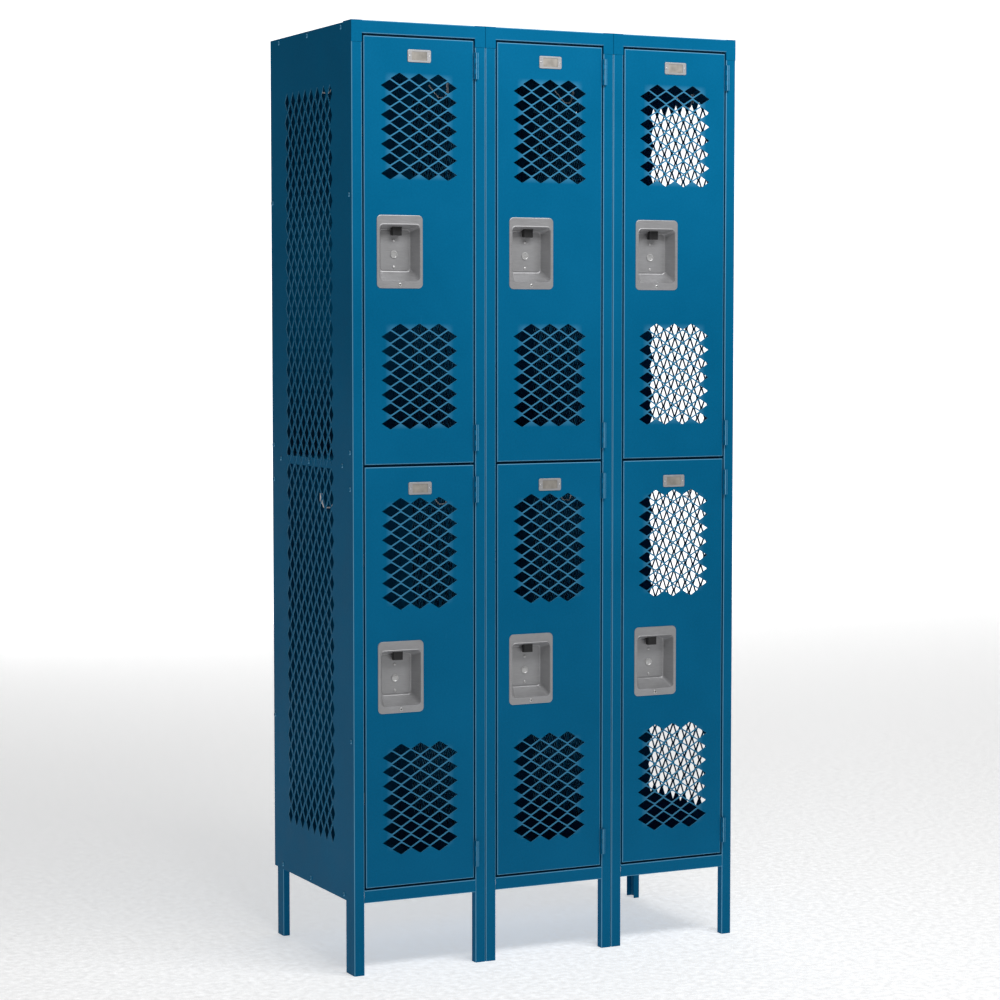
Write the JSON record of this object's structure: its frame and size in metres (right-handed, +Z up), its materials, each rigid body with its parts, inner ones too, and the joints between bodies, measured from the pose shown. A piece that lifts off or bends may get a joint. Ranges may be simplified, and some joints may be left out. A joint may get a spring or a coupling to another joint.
{
  "type": "school locker",
  "caption": "Double-tier ventilated steel locker bank on legs, with right-hung perforated doors, recessed finger-lift handles, card holders and coat hooks.",
  "frame": {"origin": "on the floor, under the middle of the whole cabinet", "axes": "+Z up, doors face -Y, +X to the right of someone facing the doors"},
  "size_m": [0.9178, 0.464, 1.9812],
  "materials": {
    "blue_paint": "semi-gloss powder coat",
    "brushed_cup": "satin brushed",
    "plate_metal": "satin",
    "black_plastic": "satin",
    "zinc": "bright zinc plate",
    "rubber": "matte"
  },
  "bodies": {
    "cabinet": {"left_unit_left_upright": "blue_paint", "left_unit_right_upright": "blue_paint", "middle_unit_left_upright": "blue_paint", "middle_unit_right_upright": "blue_paint", "right_unit_left_upright": "blue_paint", "right_unit_right_upright": "blue_paint", "headers": "blue_paint", "sills": "blue_paint", "mid_rails": "blue_paint", "side_panel_left": "blue_paint", "side_panel_right": "blue_paint", "partition_left": "blue_paint", "partition_right": "blue_paint", "back_panels": "blue_paint", "top_panels": "blue_paint", "mid_shelves": "blue_paint", "bottom_panels": "blue_paint", "rear_legs": "blue_paint", "wall_hooks": "zinc", "screws_and_bolts": "zinc", "frame_catches": "blue_paint", "door_bumpers": "rubber", "hinge_frame_leaves": "blue_paint", "hinge_pins": "zinc"},
    "left_upper_door": {"left_upper_door_panel": "blue_paint", "left_upper_handle_cup": "brushed_cup", "left_upper_name_plate": "plate_metal", "left_upper_hinge_leaves": "blue_paint"},
    "left_upper_latch": {"left_upper_lock_bar": "zinc", "left_upper_finger_lift": "black_plastic"},
    "left_lower_door": {"left_lower_door_panel": "blue_paint", "left_lower_handle_cup": "brushed_cup", "left_lower_name_plate": "plate_metal", "left_lower_hinge_leaves": "blue_paint"},
    "left_lower_latch": {"left_lower_lock_bar": "zinc", "left_lower_finger_lift": "black_plastic"},
    "middle_upper_door": {"middle_upper_door_panel": "blue_paint", "middle_upper_handle_cup": "brushed_cup", "middle_upper_name_plate": "plate_metal", "middle_upper_hinge_leaves": "blue_paint"},
    "middle_upper_latch": {"middle_upper_lock_bar": "zinc", "middle_upper_finger_lift": "black_plastic"},
    "middle_lower_door": {"middle_lower_door_panel": "blue_paint", "middle_lower_handle_cup": "brushed_cup", "middle_lower_name_plate": "plate_metal", "middle_lower_hinge_leaves": "blue_paint"},
    "middle_lower_latch": {"middle_lower_lock_bar": "zinc", "middle_lower_finger_lift": "black_plastic"},
    "right_upper_door": {"right_upper_door_panel": "blue_paint", "right_upper_handle_cup": "brushed_cup", "right_upper_name_plate": "plate_metal", "right_upper_hinge_leaves": "blue_paint"},
    "right_upper_latch": {"right_upper_lock_bar": "zinc", "right_upper_finger_lift": "black_plastic"},
    "right_lower_door": {"right_lower_door_panel": "blue_paint", "right_lower_handle_cup": "brushed_cup", "right_lower_name_plate": "plate_metal", "right_lower_hinge_leaves": "blue_paint"},
    "right_lower_latch": {"right_lower_lock_bar": "zinc", "right_lower_finger_lift": "black_plastic"}
  },
  "joints": [
    {"name": "left_upper_door_hinge", "type": "hinge", "parent": "cabinet", "child": "left_upper_door", "pos_m": [-0.174, -0.22878, 1.50955], "axis": [0, 0, 1], "range_deg": [0, 120]},
    {"name": "left_upper_latch_slide", "type": "slide", "parent": "left_upper_door", "child": "left_upper_latch", "axis": [0, 0, 1], "range_m": [0, 0.01]},
    {"name": "left_lower_door_hinge", "type": "hinge", "parent": "cabinet", "child": "left_lower_door", "pos_m": [-0.174, -0.22878, 0.62405], "axis": [0, 0, 1], "range_deg": [0, 120]},
    {"name": "left_lower_latch_slide", "type": "slide", "parent": "left_lower_door", "child": "left_lower_latch", "axis": [0, 0, 1], "range_m": [0, 0.01]},
    {"name": "middle_upper_door_hinge", "type": "hinge", "parent": "cabinet", "child": "middle_upper_door", "pos_m": [0.1308, -0.22878, 1.50955], "axis": [0, 0, 1], "range_deg": [0, 120]},
    {"name": "middle_upper_latch_slide", "type": "slide", "parent": "middle_upper_door", "child": "middle_upper_latch", "axis": [0, 0, 1], "range_m": [0, 0.01]},
    {"name": "middle_lower_door_hinge", "type": "hinge", "parent": "cabinet", "child": "middle_lower_door", "pos_m": [0.1308, -0.22878, 0.62405], "axis": [0, 0, 1], "range_deg": [0, 120]},
    {"name": "middle_lower_latch_slide", "type": "slide", "parent": "middle_lower_door", "child": "middle_lower_latch", "axis": [0, 0, 1], "range_m": [0, 0.01]},
    {"name": "right_upper_door_hinge", "type": "hinge", "parent": "cabinet", "child": "right_upper_door", "pos_m": [0.4356, -0.22878, 1.50955], "axis": [0, 0, 1], "range_deg": [0, 120]},
    {"name": "right_upper_latch_slide", "type": "slide", "parent": "right_upper_door", "child": "right_upper_latch", "axis": [0, 0, 1], "range_m": [0, 0.01]},
    {"name": "right_lower_door_hinge", "type": "hinge", "parent": "cabinet", "child": "right_lower_door", "pos_m": [0.4356, -0.22878, 0.62405], "axis": [0, 0, 1], "range_deg": [0, 120]},
    {"name": "right_lower_latch_slide", "type": "slide", "parent": "right_lower_door", "child": "right_lower_latch", "axis": [0, 0, 1], "range_m": [0, 0.01]}
  ]
}
